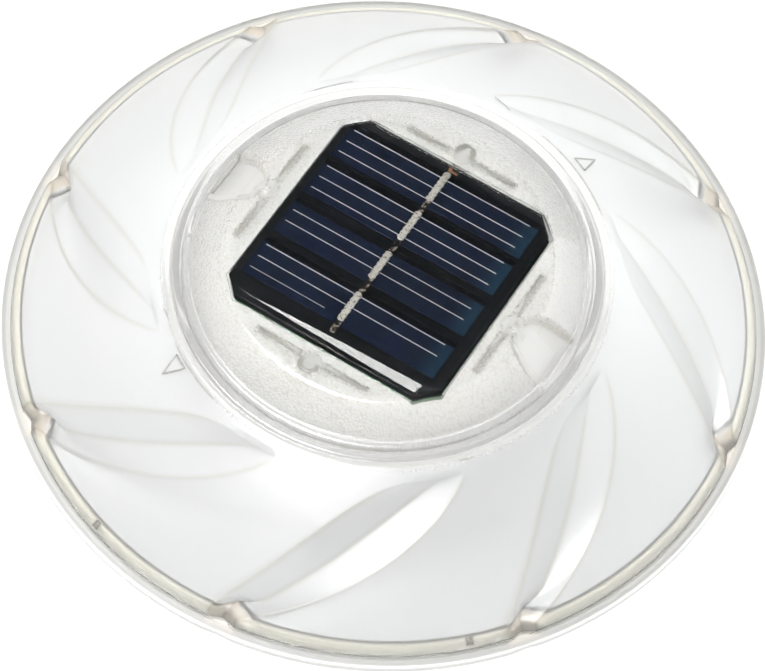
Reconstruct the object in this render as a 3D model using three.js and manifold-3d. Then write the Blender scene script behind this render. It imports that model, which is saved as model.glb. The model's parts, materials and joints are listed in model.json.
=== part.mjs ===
// Floating solar pool light: a sealed, frosted float disc with a light module twisted into its middle.
// Millimetres, +Z up. The origin is on the vertical axis, at the height of the flat underside.
import * as THREE from "three";
import { mergeVertices } from "three/addons/utils/BufferGeometryUtils.js";
import Module from "manifold-3d";

const wasm = await Module();
wasm.setup();

// ---------------------------------------------------------------- driving dimensions
const GAP = 0.3; // clearance between pieces that touch on the real object

// Float: two mirrored shells welded at a flange
const FLOAT_R = 90; // outer radius of the flange
const FLANGE_LOW = 29.8; // height of the flange's lower face
const FLANGE_H = 2.2;
const MID_Z = FLANGE_LOW + FLANGE_H / 2; // the plane the two shells mirror about
const WALL = 1.8; // thickness of a moulded wall
const FOOT_R = 87.3; // where the upper shell meets the flange
const EDGE_R = 85.1; // where the rounded rim turns into the dome
const EDGE_H = 3.6; // height of that edge above the middle plane
const COLLAR_R = 49.5; // outer edge of the collar round the module
const COLLAR_H = 21.7; // height of the collar above the middle plane
const BORE_R = 47.2; // inner radius of the collar and its tube
const TUBE_R = 49; // outer radius of the upper shell's tube
const SPIGOT_R = 49.5; // inner radius of the lower shell's spigot round that tube
const SPIGOT_TOP = 26;
const FLOOR_RING = 2; // thickness of the lower collar's ring under the tube

// Vanes: eight leaf-shaped V grooves swept round each shell
const VANES = 8;
const SECTOR = 360 / VANES;
const TIP_ANGLE = 21.7; // angle of the first vane's inner tip
const TIP_R = 54;
const VANE_END_R = 86;
const VANE_DEPTH = 3.2;

// Light module
const MODULE_TURN = -28.6; // the panel's angle about Z
const CAP_R = 46.7;
const CAP_TOP = 58.2;
const CAP_EDGE = 53.1; // top of the cap's outer band
const CAP_FLAT_R = 38.2; // the raised middle of the cap
const CAP_SKIRT_IN = 45.25;
const CAP_SKIRT_LOW = 44.5;
const CAP_THICK = 1.6;
const CAP_UNDER = CAP_TOP - CAP_THICK;
const HOUSING_R = 44.8;
const HOUSING_IN = 42.8;
const HOUSING_TOP = 48.6;
const FLOOR_T = 2.5;
const SEAT_LOW = 42; // ledges in the float's tube that the cap's skirt stands on
const SEAT_TOP = CAP_SKIRT_LOW - GAP;
const SEAT_IN = 45.2;
const LUG_SPAN = 26; // degrees of each bayonet lug
const LUG_GAP = 32; // degrees of each entry gap between the ledges
const UNLOCK_TURN = 40; // degrees from locked to the entry gaps
const BAYONETS = 3;

// Finger scoops in the cap
const SCOOP_NOSE = 33.8;
const SCOOP_END = 45.2;
const SCOOP_HALF = 6.4;
const SCOOP_NOSE_Z = 57.1;
const SCOOP_END_Z = 50.7;
const SCOOP_WALL = 1.4;

// Solar panel
const PANEL = 56.3;
const PANEL_CHAMFER = 4.65;
const BOARD_LOW = 53;
const BOARD_T = 1.6;
const CELL_Z = BOARD_LOW + BOARD_T + 0.25;
const CELL_T = 0.3;
const CELL_LENGTH = 50.5;
const CELL_WIDTH = 10.6;
const CELL_CENTRES = [20.6, 9.0, -3.5, -16.3];
const RIBBON_Z = CELL_Z + CELL_T + 0.25;
const RESIN_Z = RIBBON_Z + 0.2 + 0.25;
const RESIN_T = 0.5;
const BOSS_AT = 33; // distance of each screw boss from the axis
const BOSS_R = 2.9;
const BOSS_LOW = 52.6;
const RIB_AT = 31.9; // distance of the locating ribs from the axis
const RIB_REACH = 14.5;

// Bay under the panel, turned an eighth of a turn so that the battery passes between the bosses
const BAY_TURN = 45;
const BATTERY_Y = 9.5;
const BATTERY_Z = 12.7;
const BATTERY_R = 7.15;
const BATTERY_LENGTH = 49.4;
const BOX_L = 56; // inside length of the battery compartment
const BOX_W = 16;
const BOX_TOP = 20.8; // inside height of the compartment
const BOX_WALL = 1.6;
const DOOR_L = 67;
const DOOR_W = 22;
const DOOR_LEDGE = 4; // depth of the recess that the door sits in
const DOOR_SCREW_X = 30.8;
const LENS_Y = -21.5;
const LENS_R = 14.2;
const LENS_FLANGE_R = 16.5;
const BOARD_Z = 22; // underside of the circuit board
const BOARD_POST_X = 19.6;
const SWITCH_Y = 30;
const SWITCH_HOLE_R = 5.2;

// ---------------------------------------------------------------- helpers
const radians = THREE.MathUtils.degToRad;

/** A closed manifold solid from a three.js geometry. */
function solid(geometry) {
  const bare = geometry.clone();
  bare.deleteAttribute("normal");
  bare.deleteAttribute("uv");
  const merged = mergeVertices(bare, 1e-4);
  return new wasm.Manifold(new wasm.Mesh({
    numProp: 3,
    vertProperties: new Float32Array(merged.attributes.position.array),
    triVerts: new Uint32Array(merged.index.array),
  }));
}

/** A three.js geometry from a manifold solid. */
function geometryOf(body) {
  const mesh = body.getMesh();
  const geometry = new THREE.BufferGeometry();
  geometry.setAttribute("position", new THREE.BufferAttribute(mesh.vertProperties, 3));
  geometry.setIndex(new THREE.BufferAttribute(mesh.triVerts, 1));
  return geometry;
}

/** A solid of revolution about Z from [radius, height] pairs listed anticlockwise. */
function turned(profile, segments = 40) {
  const points = profile.map(([r, z]) => new THREE.Vector2(r, z));
  points.push(points[0].clone());
  return new THREE.LatheGeometry(points, segments).rotateX(Math.PI / 2);
}

/** A disc or pin standing on height z. */
function pin(radius, z, height, segments = 20, x = 0, y = 0) {
  return new THREE.CylinderGeometry(radius, radius, height, segments)
    .rotateX(Math.PI / 2)
    .translate(x, y, z + height / 2);
}

/** A flat ring or tube from z up. */
function ring(inner, outer, z, height, segments = 40) {
  return turned([[inner, z], [outer, z], [outer, z + height], [inner, z + height]], segments);
}

/** A block bent round the axis, from angle a to angle b in degrees. */
function arcBlock(inner, outer, z, height, a, b, segments = 8) {
  const shape = new THREE.Shape();
  shape.absarc(0, 0, outer, radians(a), radians(b), false);
  shape.absarc(0, 0, inner, radians(b), radians(a), true);
  return new THREE.ExtrudeGeometry(shape, { depth: height, bevelEnabled: false, curveSegments: segments })
    .translate(0, 0, z);
}

/** A rectangle with rounded corners, as a shape or as a hole. */
function roundedRectangle(length, width, radius, path = new THREE.Shape()) {
  const x = length / 2;
  const y = width / 2;
  path.absarc(x - radius, y - radius, radius, 0, Math.PI / 2, false);
  path.absarc(-x + radius, y - radius, radius, Math.PI / 2, Math.PI, false);
  path.absarc(-x + radius, -y + radius, radius, Math.PI, Math.PI * 1.5, false);
  path.absarc(x - radius, -y + radius, radius, Math.PI * 1.5, Math.PI * 2, false);
  path.closePath();
  return path;
}

/** A shape raised from height z. */
function raised(shape, z, height, segments = 3) {
  return new THREE.ExtrudeGeometry(shape, { depth: height, bevelEnabled: false, curveSegments: segments })
    .translate(0, 0, z);
}

/** A plate with rounded corners from height z. */
function plate(length, width, radius, z, height, x = 0, y = 0) {
  return raised(roundedRectangle(length, width, radius), z, height).translate(x, y, 0);
}

/** A box by its middle in x and y and its lower face. */
function block(length, width, z, height, x = 0, y = 0) {
  return new THREE.BoxGeometry(length, width, height).translate(x, y, z + height / 2);
}

/** A round wire through points given in order. */
function wire(points, radius, steps, sides = 6) {
  const route = new THREE.CatmullRomCurve3(points.map(([x, y, z]) => new THREE.Vector3(x, y, z)));
  const section = new THREE.Shape();
  for (let i = 0; i < sides; i += 1) {
    const turn = (2 * Math.PI * i) / sides;
    const x = radius * Math.cos(turn);
    const y = radius * Math.sin(turn);
    if (i === 0) section.moveTo(x, y);
    else section.lineTo(x, y);
  }
  section.closePath();
  return new THREE.ExtrudeGeometry(section, { steps, bevelEnabled: false, extrudePath: route });
}

/** Adds a named mesh with its own material to a group. */
function add(group, name, geometry, colour, roughness, metalness = 0, opacity = 1) {
  const material = new THREE.MeshStandardMaterial({
    color: colour, roughness, metalness, opacity, transparent: opacity < 1,
  });
  const mesh = new THREE.Mesh(geometry, material);
  mesh.name = name;
  group.add(mesh);
  return mesh;
}

// ---------------------------------------------------------------- float shells
/** Height of the dome above the middle plane at a radius. */
function domeHeight(r) {
  const run = r - COLLAR_R;
  const reach = EDGE_R - COLLAR_R;
  const slope = 0.36;
  const bend = (COLLAR_H - EDGE_H - slope * reach) / reach ** 2;
  return COLLAR_H - slope * run - bend * run * run;
}

/** How far a vane has run from its tip to the rim, 0 to 1. */
const vaneRun = (r) => THREE.MathUtils.clamp((r - TIP_R) / (VANE_END_R - TIP_R), 0, 1);

/** Degrees that each line of a vane trails its tip: outer edge, crease, inner edge. */
function vaneLags(r) {
  const t = vaneRun(r);
  const outer = 40.5 * t ** 1.18;
  const crease = 4 + 38.5 * t ** 0.65;
  const inner = 12 + 33 * t ** 0.5;
  return [outer, crease, inner];
}
const VANE_SINK = [0, 1, 0]; // share of the depth at each of those lines
const FLAT_COLUMNS = 3; // columns between one vane and the next
const COLUMNS = VANE_SINK.length + FLAT_COLUMNS;

/** Angle and groove share of one column of the shell's grid at a radius. */
function column(index, r) {
  const vane = Math.floor(index / COLUMNS);
  const place = index % COLUMNS;
  const lags = vaneLags(r);
  const inner = lags[lags.length - 1];
  const step = (SECTOR + lags[0] - inner) / (FLAT_COLUMNS + 1);
  const lag = place < lags.length ? lags[place] : inner + step * (place - lags.length + 1);
  return {
    angle: TIP_ANGLE - vane * SECTOR - lag,
    sink: place < VANE_SINK.length ? VANE_SINK[place] : 0,
  };
}

/** Rows of the dome from the collar to the rim: [radius, height above the middle plane]. */
const DOME_RADII = [TIP_R, 57, 62, 70, 78];
const outerRows = DOME_RADII.map((r) => [r, domeHeight(r)]);
const innerRows = DOME_RADII.map((r) => [r, domeHeight(r) - WALL * 1.08]);

/** Bends a turned shell's columns along the vanes and sinks the grooves. */
function withVanes(profile, side) {
  const count = VANES * COLUMNS;
  const geometry = turned(profile.map(([r, h]) => [r, MID_Z + side * h]), count);
  const position = geometry.attributes.position;
  const rows = profile.length + 1;
  for (let i = 0; i <= count; i += 1) {
    for (let j = 0; j < rows; j += 1) {
      const [r, h, share = 0] = profile[j % profile.length];
      const { angle, sink } = column((count - i) % count, r);
      const depth = share * sink * VANE_DEPTH * vaneRun(r) ** 0.45;
      const lean = THREE.MathUtils.smoothstep(r, EDGE_R - 6, FOOT_R) * Math.PI / 2;
      const room = Math.max(0, h - FLANGE_H / 2 - GAP) * 0.8;
      const rr = r - depth * Math.sin(lean);
      const z = MID_Z + side * (h - Math.min(room, depth * Math.cos(lean)));
      const turn = radians(angle);
      position.setXYZ(i * rows + j, rr * Math.cos(turn), rr * Math.sin(turn), z);
    }
  }
  return geometry;
}

/** Profile of the upper shell: tube, inner dome, foot on the flange, outer dome, collar. */
function upperProfile() {
  const foot = FLANGE_H / 2 + GAP;
  const tubeLow = -COLLAR_H + FLOOR_RING + GAP;
  return [
    [BORE_R, tubeLow],
    [TUBE_R, tubeLow],
    [TUBE_R, COLLAR_H - WALL],
    ...innerRows.map(([r, h]) => [r, h, r > TIP_R ? 1 : 0]),
    [EDGE_R - 1.7, EDGE_H - 0.9, 1],
    [FOOT_R - WALL, foot, 1],
    [FOOT_R, foot, 1],
    [FOOT_R - 0.6, EDGE_H - 1.1, 1],
    [EDGE_R, EDGE_H, 1],
    ...outerRows.map(([r, h]) => [r, h, r > TIP_R ? 1 : 0]).reverse(),
    [COLLAR_R, COLLAR_H],
    [BORE_R, COLLAR_H],
  ];
}

/** Profile of the lower shell, mirrored, with the flange and the spigot. */
function lowerProfile() {
  const flangeTop = FLANGE_H / 2;
  const loop = [
    [BORE_R, COLLAR_H],
    [BORE_R, COLLAR_H - FLOOR_RING],
    [SPIGOT_R, COLLAR_H - FLOOR_RING],
    [SPIGOT_R, MID_Z - SPIGOT_TOP],
    [SPIGOT_R + WALL, MID_Z - SPIGOT_TOP],
    [SPIGOT_R + WALL, domeHeight(SPIGOT_R + WALL) - WALL * 1.08],
    ...innerRows.slice(1).map(([r, h]) => [r, h, r > TIP_R ? 1 : 0]),
    [EDGE_R - 1.7, EDGE_H - 1.6, 1],
    [FOOT_R - 3.4, -flangeTop, 1],
    [FLOAT_R - 0.3, -flangeTop, 0.4],
    [FLOAT_R, -flangeTop + 0.4, 0.4],
    [FLOAT_R, flangeTop - 0.4, 0.4],
    [FLOAT_R - 0.4, flangeTop, 0.4],
    [FOOT_R, flangeTop, 1],
    [EDGE_R, EDGE_H, 1],
    ...outerRows.map(([r, h]) => [r, h, r > TIP_R ? 1 : 0]).reverse(),
    [COLLAR_R, COLLAR_H],
  ];
  return loop.reverse();
}

/** Ledges in the tube that carry the module, with entry gaps and end stops for its lugs. */
function seats() {
  const parts = [];
  for (let i = 0; i < BAYONETS; i += 1) {
    const lug = lugAngle(i) + MODULE_TURN;
    const gapStart = lug + UNLOCK_TURN - LUG_GAP / 2;
    const gapEnd = gapStart + LUG_GAP;
    parts.push(arcBlock(SEAT_IN, TUBE_R - 0.6, SEAT_LOW, SEAT_TOP - SEAT_LOW, gapEnd,
      gapStart + 360 / BAYONETS, 9));
    parts.push(arcBlock(SEAT_IN + 0.4, TUBE_R - 0.6, SEAT_LOW - 3.6, 3.8, gapEnd - 1.4, gapEnd + 3));
    const home = lug - LUG_SPAN / 2 - 1.6;
    parts.push(arcBlock(SEAT_IN + 0.4, TUBE_R - 0.6, SEAT_LOW - 3.6, 3.8, home - 4, home));
  }
  return parts.map(solid);
}

/** Angle of a bayonet lug within the module. */
function lugAngle(i) {
  return 90 + (360 / BAYONETS) * i;
}

// ---------------------------------------------------------------- cap
/** The bullet-shaped outline of a finger scoop, grown by a margin. */
function scoopShape(margin) {
  const half = SCOOP_HALF + margin;
  const nose = SCOOP_NOSE - margin;
  const end = SCOOP_END + margin;
  const shape = new THREE.Shape();
  shape.moveTo(end, -half);
  shape.lineTo(end, half);
  shape.bezierCurveTo(end - 6, half, nose, half * 0.75, nose, 0);
  shape.bezierCurveTo(nose, -half * 0.75, end - 6, -half, end, -half);
  return shape;
}

/** The space of a scoop: its floor slopes down from the nose to the outer end. */
function scoopSpace(margin, drop) {
  const top = CAP_TOP + 3;
  const geometry = raised(scoopShape(margin), 0, 1, 7);
  const position = geometry.attributes.position;
  const fall = (SCOOP_NOSE_Z - SCOOP_END_Z) / (SCOOP_END - SCOOP_NOSE);
  for (let i = 0; i < position.count; i += 1) {
    const low = position.getZ(i) < 0.5;
    const floor = SCOOP_NOSE_Z - fall * (position.getX(i) - SCOOP_NOSE) - drop;
    position.setZ(i, low ? floor : top);
  }
  return geometry;
}

/** The clear lid of the module, with its bosses, locating ribs and two finger scoops. */
function capGeometry() {
  const outside = [
    [CAP_R, CAP_SKIRT_LOW], [CAP_R, CAP_EDGE - 0.5], [CAP_R - 0.5, CAP_EDGE],
    [CAP_FLAT_R + 0.6, CAP_TOP - 0.9], [CAP_FLAT_R - 1.4, CAP_TOP - 0.3], [20, CAP_TOP - 0.1], [0, CAP_TOP],
  ];
  const inside = [
    [0, CAP_UNDER], [CAP_FLAT_R - 0.8, CAP_UNDER], [CAP_SKIRT_IN, CAP_EDGE - CAP_THICK],
    [CAP_SKIRT_IN, CAP_SKIRT_LOW],
  ];
  const filled = solid(turned([[0, CAP_SKIRT_LOW], ...outside], 56));
  let cap = solid(turned([...inside, ...outside], 56));
  for (const turn of [0, 180]) {
    const place = (geometry) => solid(geometry.rotateZ(radians(turn)));
    const pocket = place(scoopSpace(SCOOP_WALL, SCOOP_WALL)).intersect(filled);
    cap = cap.add(pocket).subtract(place(scoopSpace(0, 0)));
  }
  for (const turn of [0, 90, 180, 270]) {
    const place = (geometry) => solid(geometry.rotateZ(radians(turn)));
    cap = cap.add(place(pin(BOSS_R, BOSS_LOW, CAP_UNDER - BOSS_LOW + 0.4, 14, BOSS_AT)));
    const ribLength = RIB_REACH - BOSS_R - 0.3;
    for (const side of [-1, 1]) {
      const middle = side * (RIB_REACH + BOSS_R + 0.3) / 2;
      cap = cap.add(place(block(1.2, ribLength, CAP_UNDER - 1.4, 1.8, RIB_AT, middle)));
    }
    cap = cap.subtract(place(pin(1.1, BOSS_LOW - 1, 4.4, 8, BOSS_AT)));
  }
  return geometryOf(cap);
}

// ---------------------------------------------------------------- housing
/** The clear cup under the cap, with the bayonet lugs, the battery compartment and its openings. */
function housingGeometry() {
  const cup = turned([
    [0, 0], [41, 0], [43.2, 1], [HOUSING_R, 5], [HOUSING_R, 45.5], [43.5, 45.5], [43.5, 47.1],
    [HOUSING_R, 47.1], [HOUSING_R, HOUSING_TOP], [HOUSING_IN - 1, HOUSING_TOP], [HOUSING_IN - 1, 44.6],
    [HOUSING_IN, 43.4], [HOUSING_IN, 6], [40.6, FLOOR_T], [0, FLOOR_T],
  ], 56);
  let body = solid(cup);
  for (let i = 0; i < BAYONETS; i += 1) {
    const middle = lugAngle(i);
    const from = middle - LUG_SPAN / 2;
    body = body.add(solid(arcBlock(HOUSING_R - 0.8, 46.6, SEAT_LOW - 3.2, 2.9, from, from + LUG_SPAN, 4)));
  }
  const inBay = (geometry) => solid(geometry.rotateZ(radians(BAY_TURN)));
  const boxTop = BOX_TOP + BOX_WALL;
  const frame = solid(plate(DOOR_L + 5, DOOR_W + 5, 4, 0, 7, 0, BATTERY_Y).rotateZ(radians(BAY_TURN)))
    .intersect(solid(pin(HOUSING_R - 1, 0.2, 10, 56)));
  body = body
    .add(frame)
    .add(inBay(plate(BOX_L + 2 * BOX_WALL, BOX_W + 2 * BOX_WALL, 1.5, 1, boxTop - 1, 0, BATTERY_Y)));
  for (const side of [-1, 1]) {
    body = body.add(inBay(pin(2.7, 1, 9, 12, side * DOOR_SCREW_X, BATTERY_Y)));
    body = body.add(inBay(pin(2.3, 1, BOARD_Z - GAP - 1, 12, side * BOARD_POST_X, LENS_Y)));
  }
  body = body
    .subtract(inBay(block(BOX_L, BOX_W, -1, BOX_TOP + 1, 0, BATTERY_Y)))
    .subtract(inBay(plate(DOOR_L + 2 * GAP, DOOR_W + 2 * GAP, 3.3, -1, DOOR_LEDGE + 1, 0, BATTERY_Y)))
    .subtract(inBay(pin(LENS_R + GAP, -1, 6, 32, 0, LENS_Y)))
    .subtract(inBay(pin(SWITCH_HOLE_R, -1, 6, 20, 0, SWITCH_Y)));
  for (const side of [-1, 1]) {
    body = body.subtract(inBay(pin(1.05, DOOR_LEDGE - 1, 7, 8, side * DOOR_SCREW_X, BATTERY_Y)));
    body = body.subtract(inBay(pin(1.05, BOARD_Z - 7, 8, 8, side * BOARD_POST_X, LENS_Y)));
    body = body.subtract(inBay(block(1.4, 5, BOX_TOP - 1, 4, side * (BOX_L / 2 - 0.9), BATTERY_Y)));
  }
  return geometryOf(body);
}

// ---------------------------------------------------------------- fasteners
/** A pan-head screw pointing up from the underside of its head at height z. */
function screwGeometry(headR, headH, shankR, shankL, x, y, z) {
  const profile = [
    [0, z - headH], [headR * 0.7, z - headH], [headR, z - headH * 0.5], [headR, z],
    [shankR, z], [shankR, z + shankL - 1], [0, z + shankL],
  ];
  const slotDepth = headH * 0.45;
  const slot = new THREE.BoxGeometry(headR * 1.3, headR * 0.28, slotDepth * 2).translate(0, 0, z - headH);
  const cross = slot.clone().rotateZ(Math.PI / 2);
  const body = solid(turned(profile, 10)).subtract(solid(slot)).subtract(solid(cross));
  return geometryOf(body).translate(x, y, 0);
}

/** The same screw with its head up. */
function downwardScrew(headR, headH, shankR, shankL, x, y, z) {
  return screwGeometry(headR, headH, shankR, shankL, 0, 0, 0).rotateX(Math.PI).translate(x, y, z);
}

// ---------------------------------------------------------------- assembly
const light = new THREE.Group();
light.name = "floating_pool_light";

const FROSTED = 0xf1f2f1;
const CLEAR = 0xeeece2;

function addFloat() {
  let upper = solid(withVanes(upperProfile(), 1));
  for (const seat of seats()) upper = upper.add(seat);
  add(light, "float_upper_shell", geometryOf(upper), FROSTED, 0.35, 0, 0.8);
  add(light, "float_lower_shell", withVanes(lowerProfile(), -1), FROSTED, 0.35, 0, 0.8);
}

const module = new THREE.Group();
module.rotation.z = radians(MODULE_TURN);
light.add(module);

function addCase() {
  add(module, "module_cap", capGeometry(), CLEAR, 0.12, 0, 0.45);
  add(module, "module_housing", housingGeometry(), CLEAR, 0.25, 0, 0.6);
  const seal = new THREE.TorusGeometry(44.35, 0.6, 6, 40).translate(0, 0, 46.3);
  add(module, "cap_seal_ring", seal, 0x2b2b2b, 0.7);
}

function addPanel() {
  const half = PANEL / 2;
  const cut = PANEL_CHAMFER;
  const outline = (inset) => {
    const h = half - inset;
    const shape = new THREE.Shape();
    const corners = [[h, h - cut], [h - cut, h], [cut - h, h], [-h, h - cut], [-h, cut - h], [cut - h, -h],
      [h - cut, -h], [h, cut - h]];
    shape.setFromPoints(corners.map(([x, y]) => new THREE.Vector2(x, y)));
    return shape;
  };
  add(module, "solar_panel_board", raised(outline(0), BOARD_LOW, BOARD_T), 0x0c0e10, 0.4);
  CELL_CENTRES.forEach((y, i) => {
    const cell = block(CELL_LENGTH, CELL_WIDTH, CELL_Z, CELL_T, -0.6, y);
    add(module, `solar_cell_${i + 1}`, cell, 0x0d1c38, 0.2, 0.3);
  });
  add(module, "cell_ribbon", block(1.3, 50, RIBBON_Z, 0.2, -0.3, 1), 0xd6d6d2, 0.35, 0.9);
  add(module, "panel_resin", raised(outline(0.4), RESIN_Z, RESIN_T), 0xf4f4f4, 0.08, 0, 0.25);

  const tray = [
    [0, 50.5], [37, 50.5], [39.8, 47.2], [41.3, 47.2], [41.3, 48.4], [CAP_FLAT_R - 0.2, 52.3], [0, 52.3],
  ];
  let trayBody = solid(turned(tray, 48));
  for (const turn of [0, 90, 180, 270]) {
    trayBody = trayBody.subtract(solid(pin(1.7, 49, 5, 8, BOSS_AT).rotateZ(radians(turn))));
  }
  trayBody = trayBody.subtract(solid(plate(13, 5, 2.4, 49, 5, 0, -6).rotateZ(radians(BAY_TURN))));
  add(module, "panel_tray", geometryOf(trayBody), 0xe9e8e2, 0.5);
  [0, 90, 180, 270].forEach((turn, i) => {
    const screw = screwGeometry(2.6, 1.6, 0.95, 5, BOSS_AT, 0, 50.2).rotateZ(radians(turn));
    add(module, `tray_screw_${i + 1}`, screw, 0xb9bcc0, 0.3, 1);
  });
}

const bay = new THREE.Group();
bay.rotation.z = radians(BAY_TURN);
module.add(bay);

function addLamp() {
  const lens = turned([
    [0, 0.8], [7, 1.1], [11.5, 1.7], [LENS_R, 2.6], [LENS_R, 3.6], [LENS_FLANGE_R, 3.6],
    [LENS_FLANGE_R, 5.1], [12.6, 5.1], [8, 4.2], [0, 3.7],
  ], 28);
  add(bay, "lens", lens.translate(0, LENS_Y, 0), 0xf4f6f6, 0.08, 0, 0.4);
  const gasket = ring(LENS_R + 0.6, LENS_FLANGE_R - 0.1, FLOOR_T + 0.2, 0.6, 28);
  add(bay, "lens_gasket", gasket.translate(0, LENS_Y, 0), 0x2b2b2b, 0.75);
  const cone = turned([[14.6, 5.5], [15.8, 5.5], [9.6, 20.6], [9.6, BOARD_Z - GAP], [8.4, BOARD_Z - GAP],
    [8.4, 20.6]], 24);
  add(bay, "reflector", cone.translate(0, LENS_Y, 0), 0xf6f6f3, 0.3);

  let board = solid(plate(46, 22, 2.5, BOARD_Z, 1.6, 0, LENS_Y));
  for (const side of [-1, 1]) {
    board = board.subtract(solid(pin(1.4, BOARD_Z - 1, 4, 8, side * BOARD_POST_X, LENS_Y)));
  }
  add(bay, "circuit_board", geometryOf(board), 0x2e6b3c, 0.5);
  for (let i = 0; i < 3; i += 1) {
    const turn = radians(90 + 120 * i);
    const led = turned([[0, 13.6], [1.3, 13.9], [2.1, 14.7], [2.5, 16], [2.5, 20.4], [2.9, 20.4],
      [2.9, BOARD_Z - GAP], [0, BOARD_Z - GAP]], 10);
    led.translate(4 * Math.cos(turn), LENS_Y + 4 * Math.sin(turn), 0);
    add(bay, `led_${i + 1}`, led, 0xf2f4f4, 0.1, 0, 0.6);
  }
  [-1, 1].forEach((side, i) => {
    const screw = downwardScrew(2.4, 1.4, 0.9, 6, side * BOARD_POST_X, LENS_Y, BOARD_Z + 1.6 + 0.2);
    add(bay, `board_screw_${i + 1}`, screw, 0xb9bcc0, 0.3, 1);
  });
}

function addParts() {
  const top = BOARD_Z + 1.6 + GAP;
  add(bay, "controller_chip", block(5, 4, top, 1.6, -8, LENS_Y + 3), 0x1c1c1e, 0.5);
  const drum = turned([[0, top], [3.4, top], [3.4, top + 0.9], [2.5, top + 1.4], [2.5, top + 3.6],
    [3.4, top + 4.1], [3.4, top + 5], [0, top + 5]], 12);
  add(bay, "inductor", drum.translate(3, LENS_Y + 3, 0), 0x3b3632, 0.6);
  add(bay, "capacitor", pin(2.5, top, 6.2, 12, 11, LENS_Y - 3), 0x20242c, 0.4);
  const resistor = new THREE.CapsuleGeometry(1, 3.6, 2, 8).rotateZ(Math.PI / 2);
  add(bay, "resistor", resistor.translate(-7, LENS_Y - 5, top + 1), 0xcdb891, 0.5);
}

function addBattery() {
  const long = BATTERY_LENGTH / 2;
  const cell = turned([
    [0, -long], [BATTERY_R - 0.6, -long], [BATTERY_R, -long + 0.6], [BATTERY_R, long - 0.6],
    [BATTERY_R - 0.6, long], [2.7, long], [2.7, long + 1.2], [0, long + 1.2],
  ], 20).rotateY(Math.PI / 2);
  add(bay, "battery", cell.translate(0.9, BATTERY_Y, BATTERY_Z), 0x3f8f57, 0.35);

  const plateX = BOX_L / 2 - 0.9;
  const strip = solid(block(0.5, 9, BATTERY_Z - 5, BOX_TOP - GAP - BATTERY_Z + 5, plateX, BATTERY_Y))
    .add(solid(block(0.5, 3.6, BATTERY_Z, 26 - BATTERY_Z, plateX, BATTERY_Y)));
  add(bay, "battery_plate", geometryOf(strip), 0xc9cccf, 0.25, 1);
  const points = [];
  const turns = 3;
  const steps = 27;
  for (let i = 0; i <= steps; i += 1) {
    const along = i / steps;
    const r = 4.6 - 2 * along;
    const a = 2 * Math.PI * turns * along;
    points.push([-BOX_L / 2 + 1.2 + 1.9 * along, BATTERY_Y + r * Math.cos(a), BATTERY_Z + r * Math.sin(a)]);
  }
  const coil = solid(wire(points, 0.3, steps, 5));
  const back = solid(block(0.5, 9, BATTERY_Z - 5, BOX_TOP - GAP - BATTERY_Z + 5, -plateX, BATTERY_Y))
    .add(solid(block(0.5, 3.6, BATTERY_Z, 26 - BATTERY_Z, -plateX, BATTERY_Y)));
  add(bay, "battery_spring", geometryOf(coil.add(back)), 0xc9cccf, 0.25, 1);
}

function addDoor() {
  let door = solid(plate(DOOR_L, DOOR_W, 3, 0.3, 2.7, 0, BATTERY_Y));
  for (const side of [-1, 1]) {
    const x = side * DOOR_SCREW_X;
    door = door.subtract(solid(pin(2.9, -1, 2.9, 12, x, BATTERY_Y)));
    door = door.subtract(solid(pin(1.4, -1, 6, 8, x, BATTERY_Y)));
  }
  add(bay, "battery_door", geometryOf(door), 0xe6e4dc, 0.35, 0, 0.7);
  const loop = roundedRectangle(BOX_L + 3, BOX_W + 3.6, 2);
  loop.holes.push(roundedRectangle(BOX_L + 0.8, BOX_W + 0.8, 1, new THREE.Path()));
  const gasket = raised(loop, 3.25, 0.5).translate(0, BATTERY_Y, 0);
  add(bay, "door_gasket", gasket, 0x2b2b2b, 0.75);
  [-1, 1].forEach((side, i) => {
    const screw = screwGeometry(2.5, 1.3, 0.85, 7, side * DOOR_SCREW_X, BATTERY_Y, 1.7);
    add(bay, `door_screw_${i + 1}`, screw, 0xb9bcc0, 0.3, 1);
  });
}

function addSwitch() {
  const button = turned([[0, 0.9], [3.6, 0.9], [4.5, 1.6], [4.5, 3.4], [6.4, 3.4], [6.4, 4.6], [0, 4.6]], 20);
  add(bay, "switch_button", button.translate(0, SWITCH_Y, 0), 0x2c5ea8, 0.5);
  const plunger = block(3.2, 3.2, 4.9, 3.2, 0, SWITCH_Y);
  add(bay, "switch_plunger", plunger, 0xf0f0ee, 0.4);
  const body = solid(block(8.4, 8.4, 7, 7, 0, SWITCH_Y))
    .subtract(solid(block(4.2, 4.2, 6, 5, 0, SWITCH_Y)));
  add(bay, "switch_body", geometryOf(body), 0x1d1d1f, 0.5);
}

function addWires() {
  const r = 0.6;
  const top = BOARD_Z + 1.6 + GAP + 0.1;
  [-1, 1].forEach((side, i) => {
    const sign = i === 0 ? "negative" : "positive";
    const colour = i === 0 ? 0x1a1a1a : 0xb3201c;
    const panel = [[side * 3.5, -6, BOARD_LOW - 0.5], [side * 3.5, -6, 46], [side * 4.5, -5, 36],
      [side * 15, -8, 29], [side * 16, -11, top]];
    add(bay, `panel_wire_${sign}`, wire(panel, r, 11), colour, 0.45);
    const x = side * (BOX_L / 2 - 0.9);
    const battery = [[x, BATTERY_Y, 26.6], [x * 0.97, BATTERY_Y - 1.5, 29], [side * 25, 0, 29.5],
      [side * 21.5, -7, 28], [side * 20.5, -10.5, top]];
    add(bay, `battery_wire_${sign}`, wire(battery, r, 11), colour, 0.45);
    const lead = [[side * 2.4, SWITCH_Y, 14.5], [side * 2.6, SWITCH_Y - 0.5, 20], [side * 3.2, 22, 26.5],
      [side * 3.5, 8, 28], [side * 1.8, -4, 27.5], [side * 0.9 - 1.5, -9, top]];
    add(bay, `switch_wire_${i + 1}`, wire(lead, r, 13), 0x8a8a86, 0.45);
  });
}

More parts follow.
